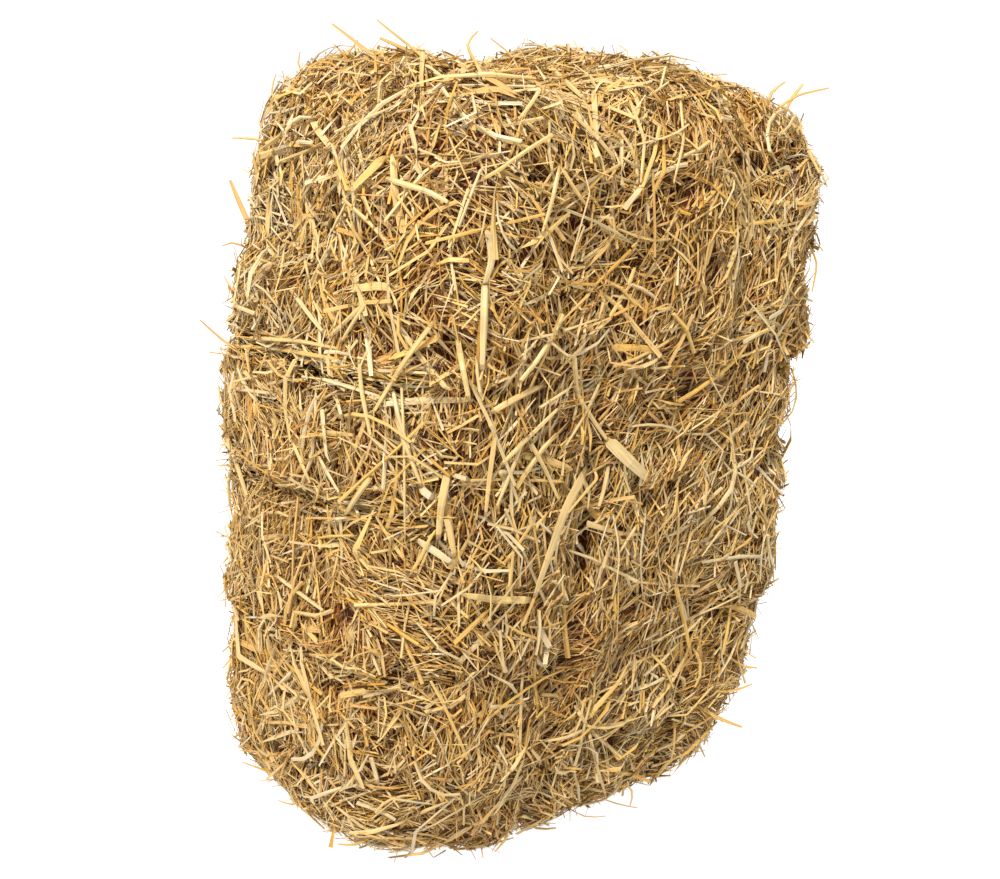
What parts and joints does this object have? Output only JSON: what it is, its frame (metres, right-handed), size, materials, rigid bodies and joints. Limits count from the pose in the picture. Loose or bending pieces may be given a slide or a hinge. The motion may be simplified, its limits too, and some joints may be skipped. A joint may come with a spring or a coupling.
{
  "type": "square straw bale",
  "caption": "Small rectangular bale of golden straw standing on end, pressed in flakes with rounded edges and held by lengthwise twines.",
  "frame": {"origin": "middle of the underside of the whole bale's box, on the surface that it stands on", "axes": "+Z along the bale's length, from the end it stands on to the upper end; +X across the wide faces that the twines cross; +Y through the bale from the pictured wide face to the knotted one"},
  "size_m": [0.498, 0.371, 0.6975],
  "materials": {
    "straw": "dry golden cereal straw, matt with a faint sheen on the cut stems",
    "twine": "matt laid sisal twine"
  },
  "bodies": {
    "root": {"flake_1": "straw", "flake_2": "straw", "flake_3": "straw", "flake_4": "straw", "flake_5": "straw", "flake_6": "straw", "flake_7": "straw", "twine_left": "twine", "twine_right": "twine"}
  },
  "joints": []
}
